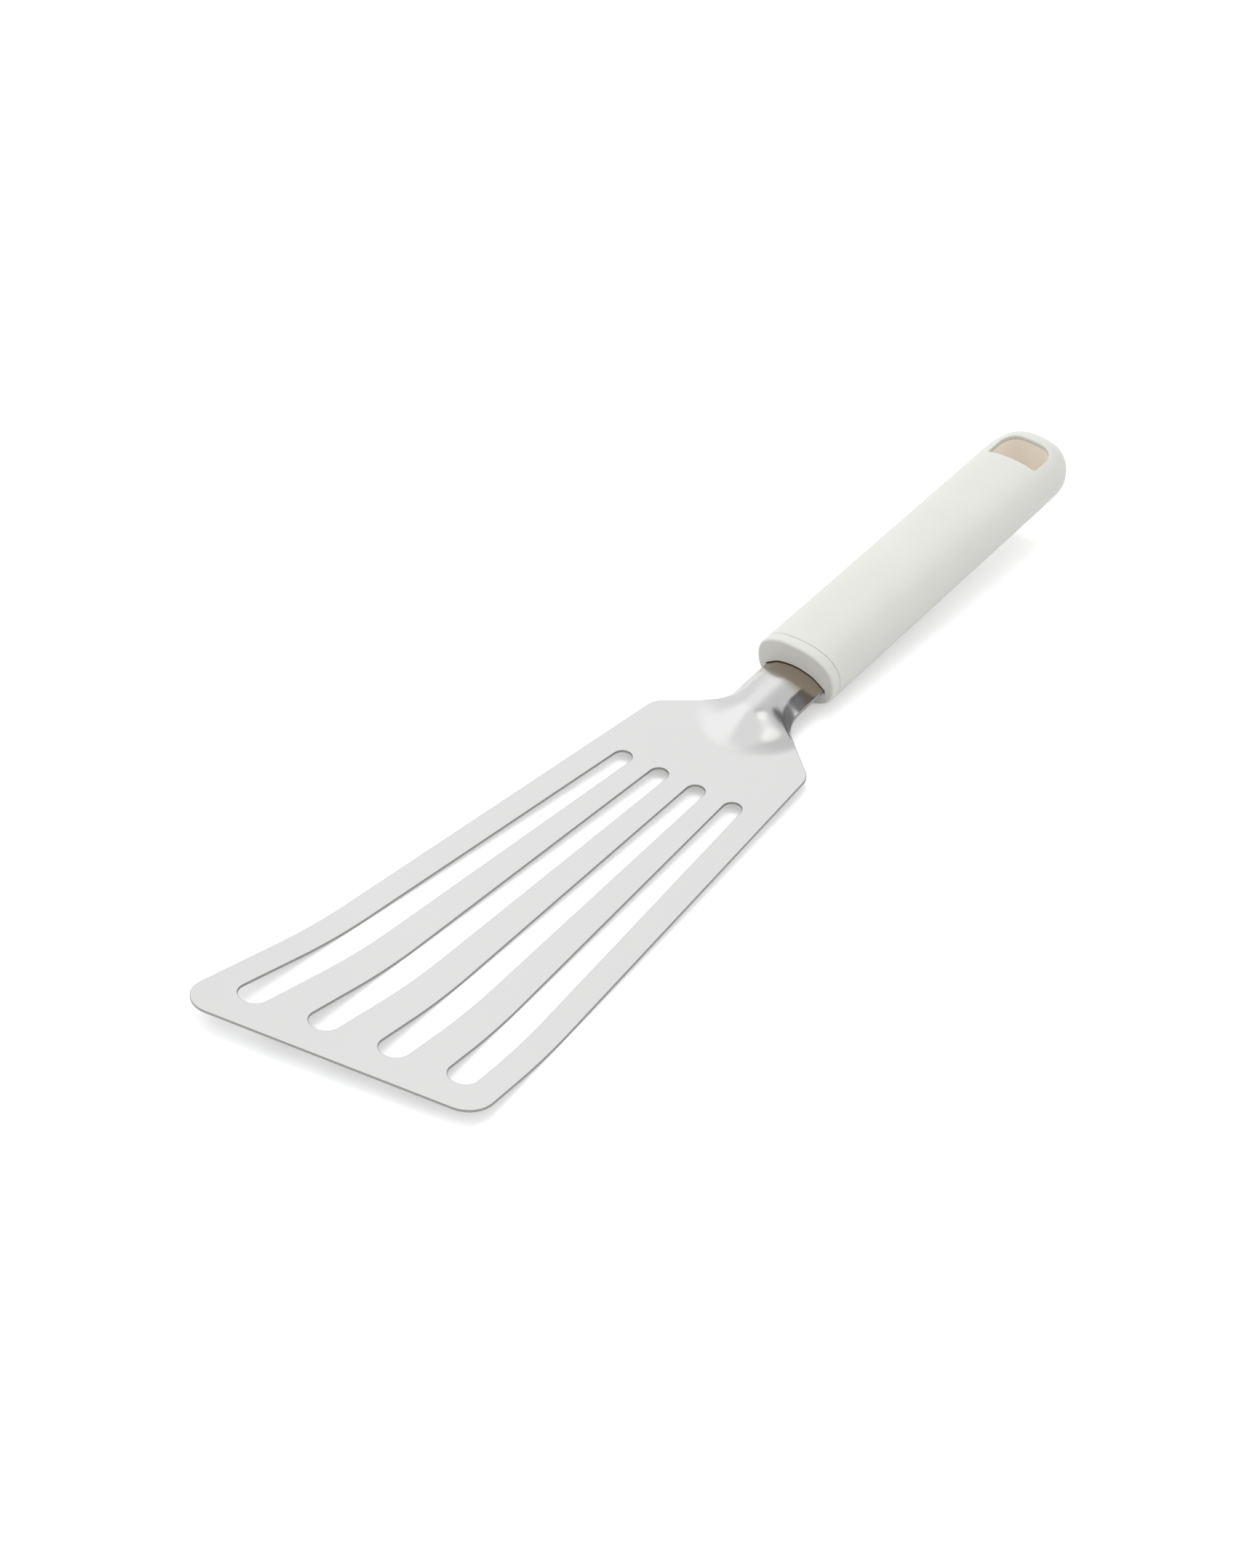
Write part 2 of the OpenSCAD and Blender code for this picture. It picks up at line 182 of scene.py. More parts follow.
def blade_edge(side):
    """One long edge, from the tang's end to the front corner: straight runs joined by arcs."""
    end, start = -NECK_L - TANG_L, -NECK_L - TANG_ROOT_L
    tang = np.array([
        [end, side * TANG_W / 4],
        [end + TANG_TAPER_L, side * TANG_W / 2],
        [start - TANG_TAPER_L, side * TANG_W / 2],
        [start, side * NECK_W / 2],
    ])
    root, rear, front, far = neck_root(side), rear_corner(side), front_corner(side), front_corner(-side)
    return np.vstack([
        tang,
        round_corner(tang[-1], root, rear, HOLLOW_R, n=26),
        round_corner(root, rear, front, REAR_R),
        round_corner(rear, front, far, FRONT_R, n=28),
    ])


def slot_end(i, x0, pitch, lean):
    """Centre of slot i's end: rows lean by x = x0 - lean y, and the pitch grows evenly along x."""
    grow = (SLOT_FRONT_PITCH - SLOT_REAR_PITCH) / (SLOT_FRONT_X - SLOT_REAR_X)
    y = i * pitch / (1 + i * grow * lean)
    return np.array([x0 - lean * y, y])


def slot_radius(x):
    """Half the slot's width, which grows evenly along x."""
    t = (x - SLOT_REAR_X) / (SLOT_FRONT_X - SLOT_REAR_X)
    return (SLOT_REAR_W + (SLOT_FRONT_W - SLOT_REAR_W) * t) / 2


def slot_loop(i):
    """Slot i: two round ends joined by their outer tangents, which lean by
    asin((ra - rb) / distance)."""
    a = slot_end(i, SLOT_REAR_X, SLOT_REAR_PITCH, SLOT_REAR_SLANT)
    b = slot_end(i, SLOT_FRONT_X, SLOT_FRONT_PITCH, SLANT)
    ra, rb = slot_radius(a[0]), slot_radius(b[0])
    run = b - a
    along, lean = math.atan2(run[1], run[0]), math.asin((ra - rb) / np.linalg.norm(run))
    rear = arc(a, ra, along + math.pi / 2 - lean, math.pi + 2 * lean, n=25)
    front = arc(b, rb, along - math.pi / 2 + lean, math.pi - 2 * lean, n=31)
    return np.vstack([rear, front])


def spaced(loop, step):
    """The closed loop with its long runs cut into equal pieces no longer than step."""
    following = np.roll(loop, -1, axis=0)
    counts = np.maximum(1, np.ceil(np.linalg.norm(following - loop, axis=1) / step)).astype(int)
    first = np.repeat(np.arange(len(loop)), counts)
    place = np.arange(len(first)) - np.repeat(np.cumsum(counts) - counts, counts)
    t = (place / counts[first])[:, None]
    return loop[first] * (1 - t) + following[first] * t


def left_of(loop):
    """Unit normals to the left of a closed loop's direction."""
    t = np.roll(loop, -1, axis=0) - np.roll(loop, 1, axis=0)
    return rows_unit(np.stack([-t[:, 1], t[:, 0]], -1))


def smooth(t):
    """Smooth step 3 t^2 - 2 t^3 between 0 and 1."""
    t = np.clip(t, 0, 1)
    return t * t * (3 - 2 * t)


# centre of the round hollow between the neck's edge and the shoulder
HOLLOW = corner_circle(np.array([-NECK_L, NECK_W / 2]), neck_root(1), rear_corner(1), HOLLOW_R)[0]


def edge_gap(x, y):
    """Distance in from the neck's edge: straight along the neck, then round the hollow's centre."""
    round_gap = np.hypot(x - HOLLOW[0], np.abs(y) - HOLLOW[1]) - HOLLOW_R
    return np.where(x < HOLLOW[0], NECK_W / 2 - np.abs(y), round_gap)


def skin_z(x, y):
    """Drawn neck: the lower of its body and its side wall, by the soft minimum of a and b, which is
    (a + b - sqrt((a - b)^2 + softness^2)) / 2. The body is a crown that falls to each side by a smooth
    step of |y|, and ends in a smooth step of the distance from a centre behind the rear corners. The
    wall rises from the neck's edge at an even slope, and runs on past the edge only where the neck is
    drawn."""
    end = smooth((np.hypot(np.maximum(0, x + DRAW_BACK), y) - DRAW_TOP_R) / (DRAW_REACH - DRAW_TOP_R))
    drawn = 1 - smooth((x + DRAW_BACK + DRAW_BLEND) / DRAW_BLEND) * end
    crown = np.maximum(0, CROWN_RISE - (x + NECK_L) * math.tan(HANDLE_TILT))
    body = (crown - 2 * CROWN_ARCH * smooth(np.abs(y) / CROWN_W)) * drawn
    slope = WALL_DROP * 2 / (NECK_W - CROWN_W)
    inward = np.maximum(edge_gap(x, y), -NECK_W * drawn)
    wall = (crown - CROWN_ARCH - WALL_DROP) * drawn + slope * inward
    return (body + wall - np.sqrt((body - wall) ** 2 + (CREASE_SOFT * drawn) ** 2)) / 2


def paddle_z(x):
    """Flat, then a circular bend upwards, then straight at the bend's angle."""
    length = BEND_R * math.sin(BEND_ANGLE)
    t = np.clip(x - BEND_START, 0, length)
    straight = np.maximum(0, x - BEND_START - length) * math.tan(BEND_ANGLE)
    return BEND_R - np.sqrt(BEND_R**2 - t * t) + straight


def sheet_z(x, y):
    """Height of the sheet's upper face."""
    return np.where(x < DRAW_REACH - DRAW_BACK, skin_z(np.minimum(x, DRAW_REACH), y), paddle_z(x))


def sheet_slopes(p):
    """Slopes of the upper face along x and y, by central differences."""
    h = 0.05
    x, y = p[:, 0], p[:, 1]
    slope_x = (sheet_z(x + h, y) - sheet_z(x - h, y)) / 2 / h
    slope_y = (sheet_z(x, y + h) - sheet_z(x, y - h)) / 2 / h
    return slope_x, slope_y


def sheet_normal(p):
    """Unit normal of the upper face, along (-slope x, -slope y, 1)."""
    gx, gy = sheet_slopes(p)
    return rows_unit(np.stack([-gx, -gy, np.ones(len(p))], -1))


def sheet_low(p):
    """Lower face: the sheet's thickness below the upper one, measured square to it."""
    gx, gy = sheet_slopes(p)
    return sheet_z(p[:, 0], p[:, 1]) - SHEET_T * np.sqrt(1 + gx**2 + gy**2)


def in_parts(work, points, parts=32):
    """The work done on the points in parts, so that its tables of points by edges stay small."""
    return np.concatenate([work(part) for part in np.array_split(points, parts)])


def inside(points, loops):
    """True for points inside an odd number of the loops: a ray along +X crosses an odd number of
    edges."""
    a = np.vstack(loops)
    b = np.vstack([np.roll(loop, -1, axis=0) for loop in loops])
    slope = (b[:, 0] - a[:, 0]) / np.where(a[:, 1] == b[:, 1], 1, b[:, 1] - a[:, 1])

    def odd(part):
        """Whether each point's ray crosses an odd number of the edges."""
        x, y = part[:, :1], part[:, 1:]
        spans = (a[:, 1] > y) != (b[:, 1] > y)
        return (spans & (x < a[:, 0] + (y - a[:, 1]) * slope)).sum(axis=1) % 2 == 1

    return in_parts(odd, points)


def fill(loops, grid, clear):
    """Triangles of the region inside the first loop and outside the others, through the loops' points
    and the grid's points that lie clear of them. Four corners outside the region keep slivers off its
    straight edges. A triangle on a loop is kept if it has the loop's edge on its own side, and any
    other by its centre. Returns the points, the loops' first, and the triangles, anticlockwise."""
    margin, same_place = 30, 1e-6
    rim = np.vstack(loops)
    grid = grid[inside(grid, loops)]

    def apart(part):
        """Whether each point is more than clear from every point of the loops."""
        return ((part[:, None] - rim) ** 2).sum(axis=2).min(axis=1) > clear**2

    points = np.vstack([rim, grid[in_parts(apart, grid)]])
    counts = np.array([len(loop) for loop in loops])
    starts = np.cumsum(counts) - counts
    here = np.arange(len(rim))
    ahead = np.concatenate([start + np.roll(np.arange(n), -1) for start, n in zip(starts, counts)])
    low, high = rim.min(axis=0) - margin, rim.max(axis=0) + margin
    corners = np.array([low, (high[0], low[1]), high, (low[0], high[1])])
    edges = np.stack([here, ahead], -1).tolist()
    everything = np.vstack([points, corners]).tolist()
    tris = np.array(delaunay_2d_cdt(everything, edges, [], 0, same_place)[2])
    tris = tris[(tris < len(points)).all(axis=1)]
    keep = inside(points[tris].mean(axis=1), loops)
    sides = tris * len(points) + np.roll(tris, -1, axis=1)
    for k, (loop, start, n) in enumerate(zip(loops, starts, counts)):
        i, j = here[start : start + n], ahead[start : start + n]
        x, y = loop.T
        anticlockwise = x @ np.roll(y, -1) > y @ np.roll(x, -1)
        if anticlockwise != (k == 0):
            i, j = j, i
        keep |= np.isin(sides, i * len(points) + j).any(axis=1)
        keep &= ~np.isin(sides, j * len(points) + i).any(axis=1)
    return points, tris[keep]


class Shell:
    """Points with their outward normals and triangles with their finish, gathered and then made one
    piece."""

    def __init__(self):
        self.points, self.normals, self.faces, self.finishes = [], [], [], []

    def add(self, points, normals):
        """Takes in points with their normals, and returns the index of the first."""
        start = sum(len(p) for p in self.points)
        self.points.append(points)
        self.normals.append(normals)
        return start

    def skin(self, triangles, start=0, flip=False, finish=0):
        """Takes in triangles that count their points from start, turned over by flip."""
        self.faces.append((triangles[:, ::-1] if flip else triangles) + start)
        self.finishes.append(np.full(len(triangles), finish, np.int32))

    def join(self, rings, n, flip=False, finish=0):
        """Bands between closed rings of n points, given by their first indices, with two triangles to a
        step."""
        i = np.arange(n)
        j = (i + 1) % n
        for a, b in zip(rings[:-1], rings[1:]):
            self.skin(np.stack([a + i, a + j, b + j], -1), flip=flip, finish=finish)
            self.skin(np.stack([a + i, b + j, b + i], -1), flip=flip, finish=finish)

    def build(self, name, materials, node, to_row, mirrored=False):
        """Makes the piece that stands for a CAD node. to_row takes points into the row frame, and
        mirrored says that it turns them inside out. Points that coincide to 0.1 micrometres are
        merged."""
        local, normals = np.vstack(self.points), np.vstack(self.normals)
        points = to_row(local)
        places = np.round(points, 7)
        first, back = np.unique(places, axis=0, return_index=True, return_inverse=True)[1:]
        back = back.ravel()
        faces = back[np.vstack(self.faces)]
        whole = (faces != np.roll(faces, 1, axis=1)).all(axis=1)
        faces, finish = faces[whole], np.concatenate(self.finishes)[whole]
        outward = np.zeros((len(first), 3))
        np.add.at(outward, back, to_row(local + normals) - points)
        mesh = bpy.data.meshes.new(name)
        mesh.from_pydata(points[first].tolist(), [], (faces[:, ::-1] if mirrored else faces).tolist())
        mesh.polygons.foreach_set("use_smooth", np.ones(len(faces), bool))
        mesh.normals_split_custom_set_from_vertices(rows_unit(outward).tolist())
        for material in materials:
            mesh.materials.append(material)
        mesh.polygons.foreach_set("material_index", finish)
        obj = bpy.data.objects.new(name, mesh)
        bpy.context.scene.collection.objects.link(obj)
        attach(obj, "root")
        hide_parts(node)


def make_blade(buffed, sheared):
    """The sheet: its plan filled with triangles and lifted to the upper and the lower face, and every
    edge closed by a profile of two quarter rounds of radius EDGE_R carried along it."""
    loops = [spaced(np.vstack([blade_edge(-1), blade_edge(1)[::-1]]), OUTLINE_STEP)]
    loops += [spaced(slot_loop(i - (SLOT_COUNT - 1) / 2), SLOT_STEP)[::-1] for i in range(SLOT_COUNT)]
    anchors = [np.array([-NECK_L - share * TANG_L, 0.0]) for share in ANCHOR_SHARES]
    loops += [arc(anchor, ANCHOR_D / 2, 0, -TWO_PI, n=25)[:-1] for anchor in anchors]
    normals = [left_of(loop) for loop in loops]
    inner = [loop + normal * EDGE_R for loop, normal in zip(loops, normals)]
    grid = np.vstack([even_grid(*spans) for spans in (PADDLE_GRID, NECK_GRID, TANG_GRID)])
    points, tris = fill(inner, grid, clear=0.3)
    shell = Shell()
    up = sheet_normal(points)
    top = shell.add(np.column_stack([points, sheet_z(points[:, 0], points[:, 1])]), up)
    low = shell.add(np.column_stack([points, sheet_low(points)]), -up)
    shell.skin(tris, top)
    shell.skin(tris, low, flip=True)
    quarter = np.radians([22.5, 45, 67.5, 90])
    profile = [(1, a) for a in quarter] + [(-1, a) for a in quarter[::-1]]
    start = 0
    for loop, normal in zip(loops, normals):
        rings = [top + start]
        for face, a in profile:
            p = loop + normal * EDGE_R * (1 - math.sin(a))
            z = sheet_z(p[:, 0], p[:, 1]) if face > 0 else sheet_low(p)
            z = z - face * EDGE_R * (1 - math.cos(a))
            outward = np.column_stack([-normal * math.sin(a), np.zeros(len(p))])
            outward += sheet_normal(p) * face * math.cos(a)
            rings.append(shell.add(np.column_stack([p, z]), outward))
        rings.append(low + start)
        shell.join(rings, len(loop), flip=True, finish=1)
        start += len(loop)
    shell.build("Blade_Sheet", [buffed, sheared], "blade", lay_down)


def section(angle):
    """Superellipse |y|^p + |z|^p = 1 at a polar angle: (cos, sin) / (|cos|^p + |sin|^p)^(1/p)."""
    c, s = np.cos(angle), np.sin(angle)
    k = (np.abs(c) ** SECTION_POWER + np.abs(s) ** SECTION_POWER) ** (-1 / SECTION_POWER)
    return c * k, s * k


def half_sizes(s, wall):
    """Half width and half height of the handle at s behind its face, set in by a wall. They run evenly
    to the tail's sizes, come in at the front's round edge, and fall round the tail by
    (1 - t^p)^(1/p)."""
    front = np.maximum(0, COLLAR_ROUND - s)
    inset = COLLAR_ROUND - np.sqrt(COLLAR_ROUND**2 - front**2)

    def fall(length, power):
        """What is left of a size, as t goes from 0 where the tail's rounding starts to 1 at its end."""
        t = np.clip((s - HANDLE_L + length) / (length - wall), 0, 1)
        return np.maximum(0, 1 - t**power) ** (1 / power)

    w = (HANDLE_W + (TAIL_W - HANDLE_W) * s / HANDLE_L) / 2 - inset - wall
    h = (HANDLE_H + (TAIL_H - HANDLE_H) * s / HANDLE_L) / 2 - inset - wall
    return w * fall(TAIL_ROUND_L, SECTION_POWER), h * fall(TAIL_ROUND_H, 2)


def last_run(wall):
    """Run at the tail's very end, where the quarter turn round it is complete."""
    return HANDLE_L - TAIL_ROUND_L + (TAIL_ROUND_L - wall) * math.pi / 2


def run_to_s(v, wall):
    """Even steps of the run v give s up to the tail's rounding, and sine steps round it."""
    start, length = HANDLE_L - TAIL_ROUND_L, TAIL_ROUND_L - wall
    turned = np.clip((v - start) / length, 0, math.pi / 2)
    return np.where(v < start, v, start + length * np.sin(turned))


def handle_point(v, angle, wall):
    """The handle's surface, set in by a wall: its section at a polar angle, scaled to the half sizes
    at v."""
    s = run_to_s(v, wall)
    w, h = half_sizes(s, wall)
    y, z = section(angle)
    return np.stack([s, w * y, h * z], -1)


def handle_normal(v, angle, wall):
    """Outward normal: the cross product of central differences round the section and along the run."""
    dv, da = 0.01, 0.002
    v = np.minimum(v, last_run(wall) - 2 * dv)
    along = handle_point(v + dv, angle, wall) - handle_point(v - dv, angle, wall)
    around = handle_point(v, angle + da, wall) - handle_point(v, angle - da, wall)
    return rows_unit(np.cross(around, along))


def hang_loop():
    """The hanging hole seen from above, as (s, y), with small corners toward the blade and large ones
    toward the tail."""
    s1 = HANDLE_L - HANG_END_GAP
    s0, w = s1 - HANG_L, HANG_W / 2
    corners = np.array([(s0, -w), (s1, -w), (s1, w), (s0, w)])
    radii = (HANG_NEAR_R, HANG_TAIL_R, HANG_TAIL_R, HANG_NEAR_R)
    around = zip(np.roll(corners, 1, axis=0), corners, np.roll(corners, -1, axis=0), radii)
    return spaced(np.vstack([round_corner(*corner, n=14) for corner in around]), HANG_STEP)


def roof(p, wall):
    """Height of the handle's upper face over (s, y)."""
    w, h = half_sizes(p[:, 0], wall)
    return h * np.maximum(0, 1 - np.abs(p[:, 1] / w) ** SECTION_POWER) ** (1 / SECTION_POWER)


def to_chart(p, up, wall):
    """(s, y) on the upper or the lower face to the sleeve's chart: (run, CHART x polar angle)."""
    start, length = HANDLE_L - TAIL_ROUND_L, TAIL_ROUND_L - wall
    turned = np.arcsin(np.clip((p[:, 0] - start) / length, 0, 1))
    v = np.where(p[:, 0] < start, p[:, 0], start + length * turned)
    w, h = half_sizes(p[:, 0], wall)
    return np.stack([v, CHART * np.arctan2(up * roof(p, wall) / h, p[:, 1] / w)], -1)


def sleeve_form(shell, hole, first, wall):
    """One face of the sleeve, outer or inner: a chart from the seam to the tail and once round, less
    the hole's two mouths. Returns the first index of each mouth's ring."""
    columns = np.linspace(-math.pi, math.pi, SECTION_STEPS + 1)
    last = last_run(wall)
    even = np.arange(first + SLEEVE_STEP, EVEN_TO, SLEEVE_STEP)
    rows = np.concatenate([[first], even, np.linspace(CLOSE_FROM, last, CLOSE_ROWS)])
    side = np.full(len(rows), math.pi)
    front, tail = np.full(SECTION_STEPS, first), np.full(SECTION_STEPS - 1, last)
    border_v = np.concatenate([front, rows, tail, rows[:0:-1]])
    border_a = np.concatenate([columns[:0:-1], -side, columns[1:-1], side[1:]])
    border = np.stack([border_v, CHART * border_a], -1)
    mouths = [to_chart(hole, up, wall) for up in (1, -1)]
    points, tris = fill([border] + mouths, grid_of(rows[1:-1], CHART * columns[1:-1]), clear=0.35)
    v, angle = points[:, 0], points[:, 1] / CHART
    outer = wall == 0
    at = shell.add(handle_point(v, angle, wall), handle_normal(v, angle, wall) * (1 if outer else -1))
    shell.skin(tris, at, flip=outer)
    return [at + len(border), at + len(border) + len(hole)]


def hang_rim(shell, hole, up, outer_ring, inner_ring):
    """Rim of one mouth: the curve (1-t)^2 a + 2 t (1-t) c + t^2 b from the outer face into the hole,
    and then an upright wall whose lower edge stays crisp."""
    n, h = len(hole), 0.02
    along = left_of(hole)
    away = -along
    lip = hole + away * HANG_RIM_R
    height = roof(lip, 0)
    slope = (roof(lip + away * h, 0) - roof(lip - away * h, 0)) / (2 * h)
    edge = height - slope * HANG_RIM_R
    a = np.column_stack([lip, up * height])
    c = np.column_stack([hole, up * edge])
    b = np.column_stack([hole, up * (edge - HANG_RIM_R)])
    side = np.column_stack([-along[:, 1], along[:, 0], np.zeros(n)])
    open_air = np.column_stack([along, np.full(n, up)])
    rings = [outer_ring]
    for t in np.linspace(0, 1, 9)[1:]:
        p = (1 - t) ** 2 * a + 2 * t * (1 - t) * c + t * t * b
        normal = np.cross(2 * (1 - t) * (c - a) + 2 * t * (b - c), side)
        normal *= np.sign(np.sum(normal * open_air, axis=1))[:, None]
        rings.append(shell.add(p, rows_unit(normal)))
    foot = np.column_stack([hole, up * (roof(hole, SLEEVE_WALL) + CRISP)])
    rings.append(shell.add(foot, np.column_stack([along, np.zeros(n)])))
    shell.join(rings + [inner_ring], n, flip=up < 0)


def make_sleeve(plastic):
    """The outer sleeve: an outer and an inner form, joined at the hanging hole by two rims and at the
    front by a small quarter round and a flat end."""
    seam = COLLAR_L + BOND_GAP
    hole = hang_loop()
    shell = Shell()
    outer = sleeve_form(shell, hole - left_of(hole) * HANG_RIM_R, seam + SEAM_R, 0)
    inner = sleeve_form(shell, hole, seam, SLEEVE_WALL)
    for k, up in enumerate((1, -1)):
        hang_rim(shell, hole, up, outer[k], inner[k])
    n = SECTION_STEPS
    angle = np.linspace(-math.pi, math.pi, n, endpoint=False)
    y, z = section(angle)
    w, h = half_sizes(np.full(n, seam + SEAM_R), 0)
    forward = np.array([-1.0, 0, 0])
    # a place behind the face where the side is clear of the rounded edges
    plain_side = seam + 1.0
    sideways = handle_normal(np.full(n, plain_side), angle, 0)
    rings = []
    for a in np.radians([0, 30, 60, 90]):
        drop = SEAM_R * (1 - math.cos(a))
        s = np.full(n, seam + SEAM_R * (1 - math.sin(a)))
        ring = np.stack([s, (w - drop) * y, (h - drop) * z], -1)
        rings.append(shell.add(ring, sideways * math.cos(a) + forward * math.sin(a)))
    inner_edge = handle_point(np.full(n, seam), angle, SLEEVE_WALL)
    rings.append(shell.add(inner_edge, np.tile(forward, (n, 1))))
    shell.join(rings, n, flip=True)
    shell.build("Handle_Sleeve", [plastic], "handle_grip", handle_to_row, mirrored=True)


def neck_slot(gap):
    """The collar's slot in (y, up): the neck's section grown by a gap, over the top and back
    underneath."""
    y = np.linspace(NECK_W / 2 + gap, -NECK_W / 2 - gap, 61)
    line = skin_z(-NECK_L, y) - CROWN_RISE + CROWN_OVER_AXIS
    low = line - SHEET_T * np.sqrt(1 + np.gradient(line, y) ** 2) - gap
    return np.vstack([np.column_stack([y, line + gap]), np.column_stack([y, low])[::-1]])


def rounded_wall(shell, first, last, radii, at_ring, sideways):
    """Rings from the collar's face to its back, through a quarter round of each radius. at_ring gives
    the ring's (y, up) for an inset, and the normals turn from forward through sideways to backward."""
    n = len(sideways)
    rings = [first]
    for face, radius in zip((1, -1), radii):
        facing = np.array([-face, 0, 0])
        angles = np.linspace(0, math.pi / 2, 7)[1:]
        for a in angles[::face]:
            depth = radius * (1 - math.cos(a))
            s = np.full(n, depth if face > 0 else COLLAR_L - depth)
            ring = np.column_stack([s, at_ring(radius * (1 - math.sin(a)))])
            rings.append(shell.add(ring, sideways * math.sin(a) + facing * math.cos(a)))
    shell.join(rings + [last], n)


def make_collar(plastic):
    """The front ring: two flat ends with the neck's crescent slot, joined outside and in the slot by
    walls with rounded edges."""
    n = COLLAR_STEPS
    # a place behind the face where the side is clear of the rounded edges
    plain_side = 2.0
    angle = np.linspace(0, TWO_PI, n, endpoint=False)
    y, z = section(angle)
    w, h = half_sizes(np.array(COLLAR_ROUND), 0)
    slot = neck_slot(SLOT_FIT)[::-1]
    into = -left_of(slot[::-1])[::-1]
    shell = Shell()

    def outline(inset):
        """The ring's outer edge in (y, up), set in by an inset."""
        return np.stack([(w - inset) * y, (h - inset) * z], -1)

    def mouth(inset):
        """The slot's edge in (y, up), set back into the ring by an inset."""
        return slot + into * inset

    ends = []
    for s, inset, facing in ((0.0, COLLAR_ROUND, -1.0), (COLLAR_L, SEAM_R, 1.0)):
        points, tris = fill([outline(inset), mouth(LIP_R)], even_grid(*COLLAR_GRID), clear=0.4)
        flat = np.tile([facing, 0, 0], (len(points), 1))
        ends.append(shell.add(np.column_stack([np.full(len(points), s), points]), flat))
        shell.skin(tris, ends[-1], flip=facing < 0)
    sideways = handle_normal(np.full(n, plain_side), angle, 0)
    radial = np.column_stack([np.zeros(n), sideways[:, 1:]])
    rounded_wall(shell, ends[0], ends[1], (COLLAR_ROUND, SEAM_R), outline, radial)
    inward = np.column_stack([np.zeros(len(slot)), -into])
    rounded_wall(shell, ends[0] + n, ends[1] + n, (LIP_R, LIP_R), mouth, inward)
    shell.build("Front_Collar", [plastic], "front_collar", handle_to_row, mirrored=True)


def linear(hex_colour):
    """sRGB hex to linear RGBA: c / 12.92 up to 0.04045, else ((c + 0.055) / 1.055)^2.4."""
    c = np.array([int(hex_colour[i : i + 2], 16) for i in (1, 3, 5)]) / 255
    c = np.where(c <= 0.04045, c / 12.92, ((c + 0.055) / 1.055) ** 2.4)
    return (*c.tolist(), 1.0)


def add_node(tree, kind, inputs=None, **settings):
    """Adds a node, sets its settings, and gives each named input its value or its link."""
    made = tree.nodes.new(kind)
    for key, value in settings.items():
        setattr(made, key, value)
    for key, value in (inputs or {}).items():
        if isinstance(value, bpy.types.NodeSocket):
            tree.links.new(value, made.inputs[key])
        else:
            made.inputs[key].default_value = value
    return made


def new_material(name):
    """A material with an empty node tree, and that tree."""
    material = bpy.data.materials.new(name)
    material.use_nodes = True
    material.node_tree.nodes.clear()
    return material, material.node_tree


def step_along(tree, where, axis, start, end, before, after):
    """Smooth step of the dot product of a place or a direction with an axis: it goes from the value
    before to the value after, while the product goes from start to end."""
    product = add_node(tree, "ShaderNodeVectorMath", {0: where, 1: axis}, operation="DOT_PRODUCT")
    step = add_node(tree, "ShaderNodeMapRange", {
        "Value": product.outputs["Value"],
        "From Min": start,
        "From Max": end,
        "To Min": before,
        "To Max": after,
    }, interpolation_type="SMOOTHSTEP")
    return step.outputs["Result"]


# The steel in front of the collar is painted darker and warmer: painted shade standing in for the
# shaded collar face that the neck mirrors there. It is full up to 4 mm from the handle's face and gone
# from 8 mm. Both are in metres, along an axis that leans a little across the neck.
COLLAR_X = lay_down([-NECK_L, 0, CROWN_RISE])[0]
SHADE_PAINTED_TO, SHADE_CLEAR_FROM, SHADE_AXIS = COLLAR_X + 0.004, COLLAR_X + 0.008, (1.0, -0.15, 0.0)


def stainless_steel():
    """Stainless steel sheet, drawn, then mirror buffed along its length: a clean, slightly soft
    reflection, with hardly any grain. The buffing lines are 0.5 mm apart, coarser than real ones, so
    that they show. The last millimetres in front of the collar are painted darker and warmer, as
    painted shade for the shaded collar face that the neck mirrors there."""
    material, tree = new_material("Buffed_Stainless_Steel")
    where = add_node(tree, "ShaderNodeTexCoord").outputs["Object"]
    drawn_out = {"Vector": where, "Scale": (60, 2000, 2000)}
    along = add_node(tree, "ShaderNodeMapping", drawn_out).outputs["Vector"]
    lines = add_node(tree, "ShaderNodeTexNoise", {"Vector": along, "Scale": 1.0, "Detail": 3.0})
    cloud = add_node(tree, "ShaderNodeTexNoise", {"Vector": where, "Scale": 45.0, "Detail": 2.0})
    haze = {"Value": cloud.outputs["Fac"], "To Min": 0.15, "To Max": 0.18}
    rough = add_node(tree, "ShaderNodeMapRange", haze)
    relief = {"Height": lines.outputs["Fac"], "Strength": 0.03, "Distance": 0.00002}
    bump = add_node(tree, "ShaderNodeBump", relief)
    # painted shade: the steel turns darker and warmer towards the collar, for the shaded collar face it
    # mirrors
    clear = step_along(tree, where, SHADE_AXIS, SHADE_PAINTED_TO, SHADE_CLEAR_FROM, 0.0, 1.0)
    tones = {"Factor": clear, "A": linear("#AEA294"), "B": linear("#CECDCC")}
    tone = add_node(tree, "ShaderNodeMix", tones, data_type="RGBA")
    metal = add_node(tree, "ShaderNodeBsdfPrincipled", {
        "Base Color": tone.outputs["Result"],
        "Metallic": 1.0,
        "Roughness": rough.outputs["Result"],
        "Normal": bump.outputs["Normal"],
    })
    add_node(tree, "ShaderNodeOutputMaterial", {"Surface": metal.outputs["BSDF"]})
    return material


